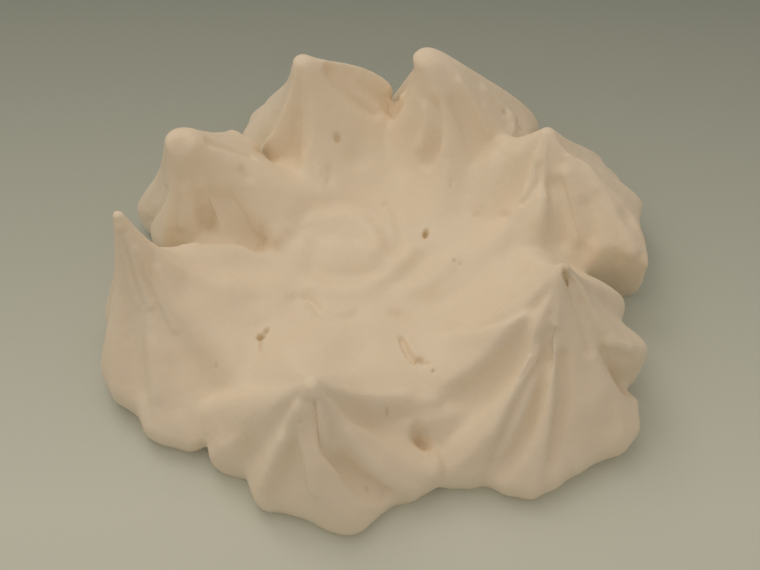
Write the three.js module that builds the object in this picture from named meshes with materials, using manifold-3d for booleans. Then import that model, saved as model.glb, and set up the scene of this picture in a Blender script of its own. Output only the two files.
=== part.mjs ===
// A meringue nest: seven star-piped peaks in a ring on one swirled base, baked as one piece.
// Millimetres, +Z up, origin at the middle of the underside.
//
// Each peak is a tent of ribs. A star nozzle leaves ribs with grooves between them, and pulling the
// nozzle away draws them together into a tip. Every rib runs from the tip of its peak down to its foot.
// The peaks and the base are joined into one solid, and the underside is cut flat.

import * as THREE from 'three';
import { ParametricGeometry } from 'three/addons/geometries/ParametricGeometry.js';
import { mergeVertices } from 'three/addons/utils/BufferGeometryUtils.js';
import Module from 'manifold-3d';

// ---------- driving dimensions ----------

const SPREAD = 92;                 // about the width over the feet
const DEPTH_BELOW = 2;             // how far the pieces run under the cut before it is made
const CENTRE = [0.5, -2.25];       // middle of the width and depth, which becomes the origin

// fineness of the faces
const COLUMN_WIDTH = 2.6;          // length along the feet that one column of faces covers
const LEAST_COLUMNS = 2;           // columns in the narrowest gap between two ribs
const FLANK_RINGS = 12;            // rings from the tip to the feet
const SIDE_RINGS = 2;              // rings from the feet's widest line to the underside
const RING_CROWDING = 1.25;        // above 1 the rings lie closer together near the tip

// how grooves and feet are rounded
const GROOVE_START = 0.3;          // share of the flank over which a groove deepens from the tip
const GROOVE_ROUNDING = 1.3;       // 1 is a wide groove between sharp ribs, above 1 the ribs are rounder
const FOOT_GROOVE = 0.6;           // depth of a groove at the feet, as a share of its depth higher up
const TUCK = 0.35;                 // how far a foot pulls in under its widest line, as a share of its height
const TIP_HEIGHT = 0.25;           // height of the round cap on a tip, as a share of its radius
const HOOK_SPAN = 0.3;             // share of the flank over which a bent tip leans
const PLAIN_GROOVE = 0.012;        // depth of the groove between two ribs, as a share of their reach

// folds
const FOLD_STEPS = 24;             // points tried along a fold's curve
const FOLD_ENDS = 0.6;             // how gently a fold fades out at its ends
const FOLD_CLEARANCE = 4;          // height from which a fold lifts the surface fully

// the swirled base
const BASE = {
  swirlCentre: [-5.4, 3.6],        // where the nozzle began
  middle: [0.5, -4],               // middle of the base's rim
  floorHeight: 9.0,                // top of the base at the swirl's centre
  rise: 0.6,                       // how much higher the rim is
  rimRadius: 29,
  sideRadius: 33.5,
  shoulder: 7.6,                   // height of the rounded shoulder outside the rim
  sideHeight: 4,
  ridge: 0.45,                     // height of the swirl's ridge
  pitch: 9.5,                      // distance from one turn of the swirl to the next
  phase: 2.2,
  swirlRadius: 20,                 // where the swirl has faded out
  columns: 40,
  rings: 11,
};

// A rib: the direction it runs in (degrees, anticlockwise from +X), how far it reaches from under the
// tip, and the height of its foot where it is widest. Extras:
//   fall    how the rib comes down: below 1 it bulges, above 1 it is hollow
//   bulge   how much it stands up at half its length
//   bend    how far it sways sideways at half its length (degrees)
//   tuck    how far its foot pulls in under its widest line, as a share of the foot's height
//   groove  depth of the groove that follows it, as a share of the reach
//   horn    the peak's horn on this side only
const rib = (direction, reach, foot, extras = {}) => ({ direction, reach, foot, ...extras });

// horn is the share of a peak's height that its slender upper part takes, and spike says how slender it is.
const PEAKS = {
  leftHorn: {
    tip: [-38.5, -8.5, 29], tipRadius: 0.8, fall: 1.0, horn: 0.45, spike: 5, lean: [0, 0],
    ribs: [
      rib(14, 25, 9.5, { fall: 2.4 }),
      rib(25, 20, 11.5, { fall: 2.4 }),
      rib(38, 13, 13, { fall: 2.2 }),
      rib(50, 8, 14, { fall: 1.8 }),
      rib(80, 6, 11),
      rib(115, 4.5, 7.5),
      rib(150, 3, 7),
      rib(190, 5, 6, { bulge: 0.5 }),
      rib(218, 5.2, 6.5),
      rib(234, 5.7, 6.5, { groove: 0.1 }),
      rib(251, 13, 5.5, { bulge: 1.8 }),
      rib(264, 16.3, 5, { bulge: 1.5 }),
      rib(274, 17.8, 4.5, { bulge: 0.5 }),
      rib(279, 22.5, 4, { fall: 1.1 }),
      rib(285, 24.3, 4, { bulge: 1 }),
      rib(294, 26.8, 4, { bulge: 1.2 }),
      rib(306, 26.8, 5.5, { fall: 1.2, bulge: 0.5 }),
      rib(317, 27, 9, { fall: 1.2 }),
      rib(335, 26, 9.5, { fall: 1.5 }),
      rib(354, 24, 10.5, { fall: 1.8, bulge: 1 }),
    ],
  },
  leftKnob: {
    tip: [-31, 11, 25], tipRadius: 2.7, fall: 1.0, horn: 0.35, spike: 5, lean: [0, 0],
    ribs: [
      rib(0, 23, 9.5, { fall: 1.8, bulge: 1.5, horn: 0 }),
      rib(31, 15, 11, { fall: 1.3, bulge: 1, horn: 0 }),
      rib(44, 15, 12, { fall: 1.1, horn: 0 }),
      rib(60, 14, 14, { fall: 1.3, horn: 0 }),
      rib(70, 11, 12, { fall: 1.3, horn: 0.2 }),
      rib(80, 12, 6, { groove: 0.1 }),
      rib(102, 10.5, 5.5, { groove: 0.14 }),
      rib(125, 9.5, 5, { groove: 0.14 }),
      rib(148, 9, 5, { groove: 0.05 }),
      rib(168, 9.5, 6, { bulge: 1.5, horn: 0.45 }),
      rib(204, 7, 8, { horn: 0.55 }),
      rib(225, 8.5, 7, { bulge: 1.2, horn: 0.45 }),
      rib(246, 9.3, 8, { bulge: 1 }),
      rib(262, 7.6, 8),
      rib(280, 8.3, 8.5, { fall: 0.9, bulge: 1 }),
      rib(300, 8, 6.5, { fall: 1.5 }),
      rib(308, 11, 9, { bulge: 0.8 }),
      rib(318, 14, 7.5, { fall: 1.6 }),
      rib(327, 17.5, 10.5, { fall: 2.2, bulge: 1.5, horn: 0.15 }),
    ],
  },
  backLeft: {
    tip: [-12, 28, 25], tipRadius: 1.5, fall: 0.95, horn: 0.12, spike: 4, lean: [-0.5, 0.2],
    ribs: [
      rib(6, 14.5, 10.5, { fall: 0.8, horn: 0 }),
      rib(16, 15.3, 13, { fall: 0.55, bulge: 0.5, horn: 0 }),
      rib(29, 14, 8, { fall: 0.6, horn: 0 }),
      rib(51, 14.5, 5.5, { groove: 0.1 }),
      rib(75, 14.5, 5, { bulge: 0.8, groove: 0.13 }),
      rib(100, 13.5, 5, { bulge: 0.8, groove: 0.13 }),
      rib(125, 13, 5, { bulge: 0.5, groove: 0.11, horn: 0.25 }),
      rib(147, 12.5, 5, { groove: 0.08, horn: 0.3 }),
      rib(168, 12, 5, { horn: 0.35 }),
      rib(189, 11.3, 5.5, { fall: 1.2, horn: 0.3 }),
      rib(203, 9, 7, { fall: 1.5 }),
      rib(216, 9.5, 9, { bulge: 1.5, bend: 12 }),
      rib(240, 9, 9, { bulge: 0.6 }),
      rib(256, 8.6, 9, { fall: 1.6 }),
      rib(270, 15, 9.5, { fall: 1.25 }),
      rib(296, 17, 9.5, { fall: 1.5 }),
      rib(318, 18, 9.5, { fall: 1.5 }),
      rib(337, 15, 10.5, { fall: 1.1, bulge: 0.5 }),
      rib(353, 15.5, 12, { fall: 1.0, bulge: 0.3 }),
    ],
  },
  backRight: {
    tip: [9, 27, 27], tipRadius: 2.3, fall: 0.9, horn: 0.06, spike: 3, lean: [-1.4, 0.2],
    ribs: [
      rib(14, 19.5, 6, { fall: 0.75, groove: 0.06 }),
      rib(36, 17.5, 5.5, { groove: 0.1 }),
      rib(57, 16.5, 5, { bulge: 0.5, groove: 0.13 }),
      rib(80, 15.5, 5, { bulge: 0.8, groove: 0.13 }),
      rib(103, 13.5, 5.5, { bulge: 0.5, groove: 0.1 }),
      rib(122, 12.5, 6),
      rib(138, 7, 12, { fall: 1.2, horn: 0.4 }),
      rib(175, 6, 11, { fall: 1.2, horn: 0.6 }),
      rib(205, 8.5, 11, { bulge: 0.5, horn: 0.4 }),
      rib(235, 11, 9.5, { fall: 1.5 }),
      rib(257, 14.5, 9.5, { fall: 1.8, bend: 10 }),
      rib(272, 20, 9.5, { fall: 1.4, bend: 8 }),
      rib(292, 19, 9.5, { fall: 1.35 }),
      rib(310, 16, 10, { fall: 1.3 }),
      rib(334, 15, 12, { bulge: 0.5 }),
      rib(352, 17, 10, { fall: 1.0 }),
    ],
  },
  right: {
    tip: [27, 14, 23], tipRadius: 0.9, fall: 0.85, horn: 0.1, spike: 4, lean: [0, 0],
    ribs: [
      rib(14, 14, 7.5, { groove: 0.1 }),
      rib(36, 13.3, 8, { groove: 0.1 }),
      rib(55, 11.5, 7.5, { groove: 0.08 }),
      rib(75, 10.5, 7, { groove: 0.1 }),
      rib(105, 10.5, 6),
      rib(145, 10.5, 12),
      rib(176, 12, 12.5, { fall: 1.1 }),
      rib(208, 14, 9.5, { fall: 1.8, bend: 30 }),
      rib(226, 22, 9.5, { fall: 1.1, bend: 15 }),
      rib(250, 22, 9.5, { fall: 1.2 }),
      rib(264, 17, 10.5, { bulge: 0.6 }),
      rib(273, 16.5, 10.5, { fall: 1.2 }),
      rib(284, 17.5, 9, { bulge: 0.5 }),
      rib(291, 18, 9, { fall: 1.1 }),
      rib(297, 18.3, 12.3, { bend: 3, tuck: 0.12 }),
      rib(303, 19, 13, { bend: 8, tuck: 0.12 }),
      rib(308, 21.3, 12.5, { bend: 12, tuck: 0.12 }),
      rib(312, 23.9, 10.5, { bulge: 0.5, bend: 14, tuck: 0.25 }),
      rib(317, 20.8, 8.5, { fall: 1.1, bend: 12, tuck: 0.15 }),
      rib(324, 17, 8, { fall: 1.1 }),
      rib(334, 18, 7.5, { groove: 0.08 }),
      rib(352, 17.3, 7.5, { groove: 0.09 }),
    ],
  },
  frontRight: {
    tip: [27, -17, 27], tipRadius: 0.9, fall: 0.95, horn: 0.22, spike: 4, lean: [0, 0],
    ribs: [
      rib(16, 11.3, 9.5),
      rib(36, 14.5, 8.5, { bulge: 0.8 }),
      rib(70, 15, 8),
      rib(105, 20, 9),
      rib(124, 18, 10.5, { fall: 1.6 }),
      rib(150, 20, 9.5, { fall: 1.5 }),
      rib(173, 21, 10, { fall: 1.9, bend: 4 }),
      rib(188, 24.5, 10.5, { fall: 1.4 }),
      rib(208, 23, 11, { bend: 8 }),
      rib(216, 25, 6, { fall: 1.25, bend: 14 }),
      rib(224, 28, 4.5, { bulge: 1, bend: 12 }),
      rib(231, 28.5, 4, { bulge: 2.2, bend: 10 }),
      rib(238, 26.5, 4, { bulge: 1.5, bend: 11 }),
      rib(243, 24.4, 3.5, { fall: 1.15, bend: 13 }),
      rib(250, 25, 4, { bulge: 0.8, bend: 10 }),
      rib(260, 24.7, 3.5, { bulge: 2, bend: 4 }),
      rib(267, 23, 4, { fall: 1.1, bend: 2 }),
      rib(277, 20.5, 4, { bulge: 0.8 }),
      rib(290, 19, 4, { bulge: 1 }),
      rib(302, 19.5, 4.5, { bulge: 1.5 }),
      rib(312, 18.7, 4.5, { bulge: 0.5 }),
      rib(324, 16, 5.5, { fall: 1.3, bend: -8 }),
      rib(335, 12.8, 4, { fall: 2.2, bend: -25, tuck: 0.1 }),
      rib(341, 12.5, 4, { fall: 2.8, bend: -30, tuck: 0.1 }),
      rib(347, 14.6, 10.5, { fall: 0.85, bulge: 1.2, bend: -28, tuck: 0.2 }),
    ],
  },
  front: {
    tip: [-9.5, -34, 22], tipRadius: 0.9, fall: 0.95, horn: 0.08, spike: 4, lean: [0, 0],
    ribs: [
      rib(4, 16, 8.5, { fall: 2.8 }),
      rib(14, 19.5, 11.5, { fall: 2.2 }),
      rib(59, 25, 9.5, { fall: 1.5 }),
      rib(105, 26, 9.5, { fall: 1.5 }),
      rib(143, 15, 9.5, { fall: 1.6 }),
      rib(160, 18, 7.5),
      rib(183, 16, 4, { bulge: 1.5 }),
      rib(199, 11, 4),
      rib(228, 12, 3.5, { bulge: 1.5 }),
      rib(243, 10.5, 3.5, { fall: 1.1 }),
      rib(259, 10.5, 3.5, { bulge: 0.8 }),
      rib(299, 14.5, 3, { bulge: 1.4, bend: -20 }),
      rib(316, 14, 3, { bulge: 0.8, bend: -24 }),
      rib(327, 14.5, 3, { fall: 1.6, bend: -20 }),
      rib(336, 17.5, 4.5, { fall: 1.8, bulge: 1.5, bend: -8 }),
      rib(345, 19.7, 6, { fall: 2.2, bulge: 1 }),
    ],
  },
};

// Soft folds and hollows laid over the joined peaks. Each runs along a curve through three places and
// fades out to both sides and at both ends. A positive height is a ridge and a negative one a hollow.
const fold = (start, middle, end, width, height) => ({ start, middle, end, width, height });
const FOLDS = {
  swirlBack: fold([-14, 6], [-10.5, 12.5], [-4, 13], 2, -1.3),
  swirlRight: fold([-4, 13], [1.5, 9.5], [1.5, 1], 2, -1.3),
  swirlFront: fold([-13, 1.5], [-8.5, -3], [-0.5, -1], 2, -1),
  outerSwirlGroove: fold([-1.5, -5], [4.5, -2.5], [9, 4.5], 2, -1.2),
  outerSwirlRidge: fold([1.5, -6], [8.5, -3.5], [12.5, 3], 2.2, 1),
  knobFront: fold([-34.5, 11], [-31.5, 10.3], [-28.5, 11], 2, -1.8),
  knobPocket: fold([-23, 7.5], [-20.5, 5], [-16, 3.5], 2, -1.4),
  backLeftHollow: fold([-5, 24.5], [-4.5, 21], [-3.5, 18], 2.2, -0.8),
  backNotch: fold([-1, 31], [1.5, 30], [3, 25.5], 2, -0.6),
  backRightEdge: fold([22, 22.5], [19.5, 20.5], [16.5, 14], 1.8, 0.8),
  rightLeaf: fold([23.5, 14], [21, 12.5], [17.5, 12], 4, -1.2),
  rightLip: fold([26.5, 10], [25.5, 6], [20.5, 4.5], 2, 1),
  frontRightLeaf: fold([22.5, -15], [19, -10.5], [12.5, -10], 3.5, -1.4),
  frontRightLip: fold([23, -18], [17.5, -20], [9, -16.5], 2, 1),
  frontValley: fold([-0.5, -12.5], [-5, -22], [-8.5, -30], 4, -1.2),
  frontSwell: fold([2.5, -18], [4.5, -22.5], [6.5, -27], 4, 0.7),
  hornValley: fold([-32.5, -9], [-30, -10], [-26.5, -11.5], 3, -0.7),
  hornShoulder: fold([-27, -8], [-22.5, -7.5], [-18, -8.5], 2.2, 0.7),
  hornShoulderEnd: fold([-18, -8.5], [-17.5, -11.5], [-17.5, -15.5], 2.5, 0.6),
  hornGroove: fold([-28, -15.5], [-25, -21], [-24, -27], 2.8, -0.9),
  hornRidge: fold([-26, -15.5], [-21.5, -20], [-17.5, -27], 2.8, 0.5),
};

// ---------- helpers ----------

const wasm = await Module();
wasm.setup();

const blend = (from, to, share) => from + (to - from) * share;
const ease = (share) => share * share * (3 - 2 * share);
const radians = THREE.MathUtils.degToRad;

// A closed geometry becomes a solid once its shared corners are merged and its empty faces dropped.
function solidFrom(geometry) {
  geometry.deleteAttribute('normal');
  geometry.deleteAttribute('uv');
  const merged = mergeVertices(geometry, 1e-4);
  const corners = merged.index.array;
  const faces = [];
  for (let i = 0; i < corners.length; i += 3) {
    const [a, b, c] = [corners[i], corners[i + 1], corners[i + 2]];
    if (a !== b && b !== c && c !== a) faces.push(a, b, c);
  }
  const vertProperties = new Float32Array(merged.attributes.position.array);
  const triVerts = new Uint32Array(faces);
  return new wasm.Manifold(new wasm.Mesh({ numProp: 3, vertProperties, triVerts }));
}

function geometryFrom(solid) {
  const mesh = solid.getMesh();
  const geometry = new THREE.BufferGeometry();
  geometry.setAttribute('position', new THREE.BufferAttribute(new Float32Array(mesh.vertProperties), 3));
  geometry.setIndex(new THREE.BufferAttribute(new Uint32Array(mesh.triVerts), 1));
  geometry.computeVertexNormals();
  return geometry;
}

// A closed form drawn as rows of points round an upright axis, from its top point to its bottom point.
function formFromRows(rows, columns) {
  const place = (u, v, target) => {
    const column = (columns - Math.round(u * columns)) % columns;
    const row = Math.round(v * (rows.length - 1));
    target.copy(rows[row](column));
  };
  return new ParametricGeometry(place, columns, rows.length - 1);
}

// ---------- peaks ----------

// The columns of faces round a peak: each has the values of its place between two ribs.
function columnsOf(peak) {
  const columns = [];
  peak.ribs.forEach((from, index) => {
    const to = peak.ribs[(index + 1) % peak.ribs.length];
    const turn = THREE.MathUtils.euclideanModulo(to.direction - from.direction, 360);
    const arc = radians(turn) * (from.reach + to.reach) / 2;
    const count = Math.max(LEAST_COLUMNS, Math.round(arc / COLUMN_WIDTH));
    const groove = from.groove ?? PLAIN_GROOVE;
    for (let k = 0; k < count; k++) {
      const share = k / count;
      const eased = ease(share);
      columns.push({
        direction: radians(from.direction + turn * share),
        reach: blend(from.reach, to.reach, eased),
        foot: blend(from.foot, to.foot, eased),
        fall: blend(from.fall ?? peak.fall, to.fall ?? peak.fall, eased),
        bulge: blend(from.bulge ?? 0, to.bulge ?? 0, eased),
        bend: radians(blend(from.bend ?? 0, to.bend ?? 0, share)),
        tuck: blend(from.tuck ?? TUCK, to.tuck ?? TUCK, eased),
        groove: groove * Math.sin(Math.PI * share) ** GROOVE_ROUNDING,
        horn: blend(from.horn ?? peak.horn, to.horn ?? peak.horn, eased),
      });
    }
  });
  return columns;
}

// A point on a peak's flank, where down runs from 0 at the tip to 1 at the foot.
function flankPoint(peak, column, down) {
  const [tipX, tipY, tipZ] = peak.tip;
  const up = 1 - down;
  const deepening = ease(Math.min(1, down / GROOVE_START));
  const cut = column.groove * blend(deepening, FOOT_GROOVE, down * down);
  const out = peak.tipRadius + (column.reach * (1 - cut) - peak.tipRadius) * down;
  const direction = column.direction + column.bend * 4 * down * up;
  const height = (1 - column.horn) * up ** column.fall + column.horn * up ** peak.spike;
  const capTop = tipZ - peak.tipRadius * TIP_HEIGHT;
  const leaning = Math.max(0, 1 - down / HOOK_SPAN) ** 3;
  return new THREE.Vector3(
    tipX + out * Math.cos(direction) + peak.lean[0] * leaning,
    tipY + out * Math.sin(direction) + peak.lean[1] * leaning,
    blend(column.foot, capTop, height) + column.bulge * 4 * down * up,
  );
}

// A point on the side of a foot, where under runs from 0 at its widest line to 1 on the underside.
function sidePoint(peak, column, under) {
  const foot = flankPoint(peak, column, 1);
  const out = new THREE.Vector2(foot.x - peak.tip[0], foot.y - peak.tip[1]);
  const tuck = column.tuck * column.foot * (1 - Math.sqrt(1 - under * under));
  out.setLength(out.length() - tuck);
  return new THREE.Vector3(peak.tip[0] + out.x, peak.tip[1] + out.y, column.foot * (1 - under));
}

function peakSolid(peak) {
  const columns = columnsOf(peak);
  const [tipX, tipY, tipZ] = peak.tip;
  const rows = [() => new THREE.Vector3(tipX + peak.lean[0], tipY + peak.lean[1], tipZ)];
  for (let ring = 0; ring <= FLANK_RINGS; ring++) {
    rows.push((i) => flankPoint(peak, columns[i], (ring / FLANK_RINGS) ** RING_CROWDING));
  }
  for (let ring = 1; ring <= SIDE_RINGS; ring++) {
    rows.push((i) => sidePoint(peak, columns[i], ring / SIDE_RINGS));
  }
  rows.push((i) => sidePoint(peak, columns[i], 1).setZ(-DEPTH_BELOW));
  rows.push(() => new THREE.Vector3(tipX, tipY, -DEPTH_BELOW));
  return solidFrom(formFromRows(rows, columns.length));
}

// ---------- base ----------

// The top of the base: a shallow dish with one ridge that spirals out from the swirl's centre.
function baseHeight(x, y) {
  const [centreX, centreY] = BASE.swirlCentre;
  const out = Math.hypot(x - centreX, y - centreY);
  const direction = Math.atan2(y - centreY, x - centreX);
  const fade = Math.min(1, out / 3) * Math.max(0, 1 - (out / BASE.swirlRadius) ** 2);
  const wave = Math.cos(2 * Math.PI * out / BASE.pitch - direction + BASE.phase);
  return BASE.floorHeight + BASE.rise * (out / BASE.rimRadius) ** 2 + BASE.ridge * wave * fade;
}

function baseSolid() {
  const [swirlX, swirlY] = BASE.swirlCentre;
  const [middleX, middleY] = BASE.middle;
  const round = (x, y, radius, i) => {
    const direction = 2 * Math.PI * i / BASE.columns;
    return new THREE.Vector3(x + radius * Math.cos(direction), y + radius * Math.sin(direction), 0);
  };
  const rows = [() => new THREE.Vector3(swirlX, swirlY, baseHeight(swirlX, swirlY))];
  for (let ring = 1; ring <= BASE.rings; ring++) {
    const share = ring / BASE.rings;
    rows.push((i) => {
      const [x, y] = [blend(swirlX, middleX, share), blend(swirlY, middleY, share)];
      const point = round(x, y, BASE.rimRadius * share, i);
      return point.setZ(baseHeight(point.x, point.y));
    });
  }
  const shoulderRadius = (BASE.rimRadius + BASE.sideRadius) / 2;
  rows.push((i) => round(middleX, middleY, shoulderRadius, i).setZ(BASE.shoulder));
  rows.push((i) => round(middleX, middleY, BASE.sideRadius, i).setZ(BASE.sideHeight));
  rows.push((i) => round(middleX, middleY, BASE.sideRadius, i).setZ(-DEPTH_BELOW));
  rows.push(() => new THREE.Vector3(middleX, middleY, -DEPTH_BELOW));
  return solidFrom(formFromRows(rows, BASE.columns));
}

// ---------- folds ----------

// How much a fold lifts the place (x, y).
function foldLift({ start, middle, end, width, height }, x, y) {
  const control = [0, 1].map((axis) => 2 * middle[axis] - (start[axis] + end[axis]) / 2);
  const curve = new THREE.QuadraticBezierCurve(
    new THREE.Vector2(...start),
    new THREE.Vector2(...control),
    new THREE.Vector2(...end),
  );
  const place = new THREE.Vector2(x, y);
  let nearest = Infinity;
  let along = 0;
  curve.getPoints(FOLD_STEPS).forEach((point, step) => {
    const distance = point.distanceTo(place);
    if (distance < nearest) {
      nearest = distance;
      along = step / FOLD_STEPS;
    }
  });
  const fading = Math.sin(Math.PI * along) ** FOLD_ENDS;
  return height * fading * Math.exp(-((nearest / width) ** 2));
}

// Lifts and lowers a geometry's top by the folds, and leaves its foot on the ground.
function layFolds(geometry) {
  const position = geometry.attributes.position;
  for (let i = 0; i < position.count; i++) {
    const [x, y, z] = [position.getX(i), position.getY(i), position.getZ(i)];
    const freedom = ease(Math.min(1, z / FOLD_CLEARANCE));
    const lift = Object.values(FOLDS).reduce((sum, each) => sum + foldLift(each, x, y), 0);
    position.setZ(i, z + freedom * lift);
  }
  geometry.computeVertexNormals();
}

// ---------- the whole piece ----------

function nestGeometry() {
  let nest = baseSolid();
  for (const peak of Object.values(PEAKS)) nest = nest.add(peakSolid(peak));
  const tray = new THREE.BoxGeometry(2 * SPREAD, 2 * SPREAD, 4 * DEPTH_BELOW);
  tray.translate(0, 0, -2 * DEPTH_BELOW);
  const geometry = geometryFrom(nest.subtract(solidFrom(tray)));
  geometry.translate(-CENTRE[0], -CENTRE[1], 0);
  layFolds(geometry);
  return geometry;
}

const meringueFinish = new THREE.MeshStandardMaterial({ color: 0xeadcc4, roughness: 0.75, metalness: 0 });
const meringue = new THREE.Mesh(nestGeometry(), meringueFinish);
meringue.name = 'meringue';

const nest = new THREE.Group();
nest.add(meringue);
export default nest;
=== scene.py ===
# %% [markdown]
# # A star-piped meringue nest
#
# The real nest is one piece of stiff egg-white foam. A star nozzle laid a swirl for the floor and then
# seven short peaks in a ring round it, and a slow oven dried everything into one light, matte piece.
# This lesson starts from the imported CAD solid, which already has the seven peaks and the main folds, and
# makes a finer piece of exactly the same form to stand in its place.

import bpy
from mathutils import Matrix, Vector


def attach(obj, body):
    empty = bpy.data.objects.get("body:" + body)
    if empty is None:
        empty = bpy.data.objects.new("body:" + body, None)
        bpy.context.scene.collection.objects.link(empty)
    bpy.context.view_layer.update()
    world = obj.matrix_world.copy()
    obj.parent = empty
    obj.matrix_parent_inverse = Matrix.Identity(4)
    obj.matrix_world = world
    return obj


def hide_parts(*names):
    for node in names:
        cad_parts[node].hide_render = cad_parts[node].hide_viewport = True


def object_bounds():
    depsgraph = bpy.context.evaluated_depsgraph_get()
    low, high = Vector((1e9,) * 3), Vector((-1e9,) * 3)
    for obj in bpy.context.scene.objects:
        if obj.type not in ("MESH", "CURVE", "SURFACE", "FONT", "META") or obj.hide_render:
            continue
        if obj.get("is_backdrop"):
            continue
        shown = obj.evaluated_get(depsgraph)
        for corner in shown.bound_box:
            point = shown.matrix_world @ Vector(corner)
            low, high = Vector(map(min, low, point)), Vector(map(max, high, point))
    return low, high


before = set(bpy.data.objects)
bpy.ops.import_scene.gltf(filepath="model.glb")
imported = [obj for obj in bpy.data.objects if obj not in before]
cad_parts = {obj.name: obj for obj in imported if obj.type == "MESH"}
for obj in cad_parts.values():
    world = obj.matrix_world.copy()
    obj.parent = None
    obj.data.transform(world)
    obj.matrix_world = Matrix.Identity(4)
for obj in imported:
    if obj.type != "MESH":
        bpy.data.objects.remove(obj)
cad_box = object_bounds()
print("CAD nodes:", list(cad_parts))

# %% Tools of the lesson
import math

import bmesh
import bpy
import numpy as np
from mathutils import Vector

MM = 0.001
scene = bpy.context.scene
print("lengths below are in millimetres until a mesh is made")

# %% [markdown]
# ## The camera first
#
# A dish of food is nearly always looked at from above at an angle, as by somebody sitting at the table.
# The camera looks down at 52 degrees from 26 centimetres away. It could be turned by hand in the viewport,
# but an angle and a distance are easier to repeat, so its place is worked out from those two numbers.

# %% Camera
LOOK_AT = Vector((-0.2, -3.45, 8)) * MM
CAMERA_ELEVATION = math.radians(52)
CAMERA_DISTANCE = 260 * MM
PIXELS_PER_MM = 6.3  # at the place that the camera looks at
IMAGE_WIDTH = 760

camera_data = bpy.data.cameras.new("table_view")
camera_data.sensor_width = 36
camera_data.lens = PIXELS_PER_MM * CAMERA_DISTANCE / MM / IMAGE_WIDTH * camera_data.sensor_width
camera_data.clip_start = 0.01
camera = bpy.data.objects.new("table_view", camera_data)
scene.collection.objects.link(camera)
towards_camera = Vector((0, -math.cos(CAMERA_ELEVATION), math.sin(CAMERA_ELEVATION)))
camera.location = LOOK_AT + towards_camera * CAMERA_DISTANCE
camera.rotation_euler = (math.pi / 2 - CAMERA_ELEVATION, 0, 0)
scene.camera = camera
print("lens of", round(camera_data.lens, 1), "mm")

# %% [markdown]
# ## Ribs
#
# A star nozzle leaves ribs with grooves between them. When the nozzle is pulled up and away, all the ribs
# of a peak are drawn together into its tip. So a peak is written down as a fan of ribs: the direction that
# each one runs in, how far it reaches, and how high its foot stands where it is widest.
# It could also be sculpted by hand, but then no number would say how wide or how deep anything is.

# %% One rib
PLAIN_GROOVE = 0.012  # depth of the groove after a rib, as a share of its reach
FOOT_TUCK = 0.35  # how far a foot pulls in under its widest line, per mm of its height


def rib(direction, reach, foot, fall=None, bulge=0.0, bend=0.0, tuck=FOOT_TUCK, groove=PLAIN_GROOVE,
        horn=None):
    """Direction and bend in degrees, the rest in mm or shares. fall below 1 bulges, above 1 is hollow."""
    return dict(direction=direction, reach=reach, foot=foot, fall=fall, bulge=bulge, bend=bend,
                tuck=tuck, groove=groove, horn=horn)


print("a plain groove on a rib of 20 mm is", 20 * PLAIN_GROOVE, "mm deep")

# %% [markdown]
# ## The seven peaks
#
# These are the same sizes as in the CAD source. They are measured from the middle of the nest's feet, and
# CENTRE takes them to the middle of the whole width and depth, which is the frame's origin.
# horn is the share of a peak's height that its slender upper part takes, and spike says how slender it is.

# %% From the feet's middle to the frame's origin
CENTRE = np.array([0.5, -2.25])
print("the peaks are shifted by", -CENTRE, "mm")

# %% The left horn
LEFT_HORN = dict(
    tip=(-38.5, -8.5, 29), tip_radius=0.8, fall=1, horn=0.45, spike=5, lean=(0, 0),
    ribs=[
        rib(14, 25, 9.5, fall=2.4),
        rib(25, 20, 11.5, fall=2.4),
        rib(38, 13, 13, fall=2.2),
        rib(50, 8, 14, fall=1.8),
        rib(80, 6, 11),
        rib(115, 4.5, 7.5),
        rib(150, 3, 7),
        rib(190, 5, 6, bulge=0.5),
        rib(218, 5.2, 6.5),
        rib(234, 5.7, 6.5, groove=0.1),
        rib(251, 13, 5.5, bulge=1.8),
        rib(264, 16.3, 5, bulge=1.5),
        rib(274, 17.8, 4.5, bulge=0.5),
        rib(279, 22.5, 4, fall=1.1),
        rib(285, 24.3, 4, bulge=1),
        rib(294, 26.8, 4, bulge=1.2),
        rib(306, 26.8, 5.5, fall=1.2, bulge=0.5),
        rib(317, 27, 9, fall=1.2),
        rib(335, 26, 9.5, fall=1.5),
        rib(354, 24, 10.5, fall=1.8, bulge=1),
    ],
)
print(len(LEFT_HORN["ribs"]), "ribs")

# %% The left knob
LEFT_KNOB = dict(
    tip=(-31, 11, 25), tip_radius=2.7, fall=1, horn=0.35, spike=5, lean=(0, 0),
    ribs=[
        rib(0, 23, 9.5, fall=1.8, bulge=1.5, horn=0),
        rib(31, 15, 11, fall=1.3, bulge=1, horn=0),
        rib(44, 15, 12, fall=1.1, horn=0),
        rib(60, 14, 14, fall=1.3, horn=0),
        rib(70, 11, 12, fall=1.3, horn=0.2),
        rib(80, 12, 6, groove=0.1),
        rib(102, 10.5, 5.5, groove=0.14),
        rib(125, 9.5, 5, groove=0.14),
        rib(148, 9, 5, groove=0.05),
        rib(168, 9.5, 6, bulge=1.5, horn=0.45),
        rib(204, 7, 8, horn=0.55),
        rib(225, 8.5, 7, bulge=1.2, horn=0.45),
        rib(246, 9.3, 8, bulge=1),
        rib(262, 7.6, 8),
        rib(280, 8.3, 8.5, fall=0.9, bulge=1),
        rib(300, 8, 6.5, fall=1.5),
        rib(308, 11, 9, bulge=0.8),
        rib(318, 14, 7.5, fall=1.6),
        rib(327, 17.5, 10.5, fall=2.2, bulge=1.5, horn=0.15),
    ],
)
print(len(LEFT_KNOB["ribs"]), "ribs")

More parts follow.
